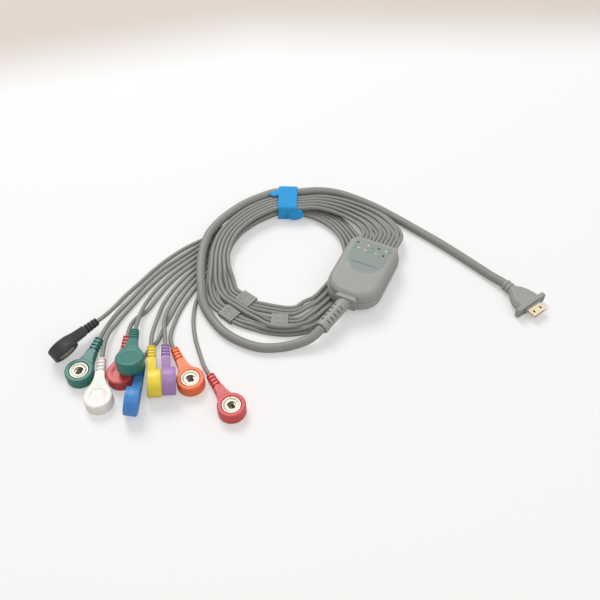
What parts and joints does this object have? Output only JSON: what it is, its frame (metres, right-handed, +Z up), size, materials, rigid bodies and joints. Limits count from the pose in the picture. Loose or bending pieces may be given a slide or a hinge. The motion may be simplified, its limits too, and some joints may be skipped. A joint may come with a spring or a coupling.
{
  "type": "ECG patient cable",
  "caption": "Coiled patient cable for a wearable ECG recorder: junction box, trunk cable with small gold plug, and thin leads to coloured snap connectors, held by a blue tie.",
  "frame": {"origin": "centre of the footprint of the junction box with its boot, the cable tie and the lead dividers, on the table they lie on", "axes": "+Y across the coil from the boot side to the tie, the longest way of those pieces; +Z up, away from the table"},
  "size_m": [0.2913, 0.1811, 0.0198],
  "materials": {
    "housing": "fine moulded texture",
    "label": "satin print",
    "board": "solder mask",
    "resistor": "lacquer",
    "grommet": "satin",
    "boot": "satin",
    "cord": "satin",
    "plug": "satin",
    "gold": "bright plating",
    "insulator": "satin",
    "snap_red": "satin",
    "snap_orange": "satin",
    "snap_blue": "satin",
    "snap_violet": "satin",
    "snap_yellow": "satin",
    "snap_teal": "satin",
    "snap_white": "satin",
    "snap_green": "satin",
    "snap_black": "satin",
    "socket": "bright nickel",
    "spring": "drawn wire",
    "divider": "satin",
    "tie": "woven loop"
  },
  "bodies": {
    "cable": {"housing_bottom": "housing", "housing_top": "housing", "label_panel": "label", "circuit_board": "board", "protection_resistors": "resistor", "lead_grommet": "grommet", "trunk_boot": "boot", "trunk_cable": "cord", "plug_overmould": "plug", "plug_shell": "gold", "plug_tongue": "insulator", "plug_contacts": "gold", "lead_red_low": "cord", "lead_orange": "cord", "lead_blue": "cord", "lead_violet": "cord", "lead_yellow": "cord", "lead_red_high": "cord", "lead_teal": "cord", "lead_white": "cord", "lead_green": "cord", "lead_black": "cord", "snap_body_red_low": "snap_red", "snap_body_orange": "snap_orange", "snap_body_blue": "snap_blue", "snap_body_violet": "snap_violet", "snap_body_yellow": "snap_yellow", "snap_body_red_high": "snap_red", "snap_body_teal": "snap_teal", "snap_body_white": "snap_white", "snap_body_green": "snap_green", "snap_body_black": "snap_black", "snap_socket_red_low": "socket", "snap_socket_orange": "socket", "snap_socket_blue": "socket", "snap_socket_violet": "socket", "snap_socket_yellow": "socket", "snap_socket_red_high": "socket", "snap_socket_teal": "socket", "snap_socket_white": "socket", "snap_socket_green": "socket", "snap_socket_black": "socket", "snap_spring_red_low": "spring", "snap_spring_orange": "spring", "snap_spring_blue": "spring", "snap_spring_violet": "spring", "snap_spring_yellow": "spring", "snap_spring_red_high": "spring", "snap_spring_teal": "spring", "snap_spring_white": "spring", "snap_spring_green": "spring", "snap_spring_black": "spring", "cable_tie": "tie"},
    "divider_1": {"lead_divider_1": "divider"},
    "divider_2": {"lead_divider_2": "divider"},
    "divider_3": {"lead_divider_3": "divider"}
  },
  "joints": [
    {"name": "divider_1_slide", "type": "slide", "parent": "cable", "child": "divider_1", "axis": [0.9981, -0.061, 0], "range_m": [0, 0.004]},
    {"name": "divider_2_slide", "type": "slide", "parent": "cable", "child": "divider_2", "axis": [0.7771, -0.6293, 0], "range_m": [-0.004, 0]},
    {"name": "divider_3_slide", "type": "slide", "parent": "cable", "child": "divider_3", "axis": [0.7604, -0.6494, 0], "range_m": [-0.004, 0]}
  ]
}
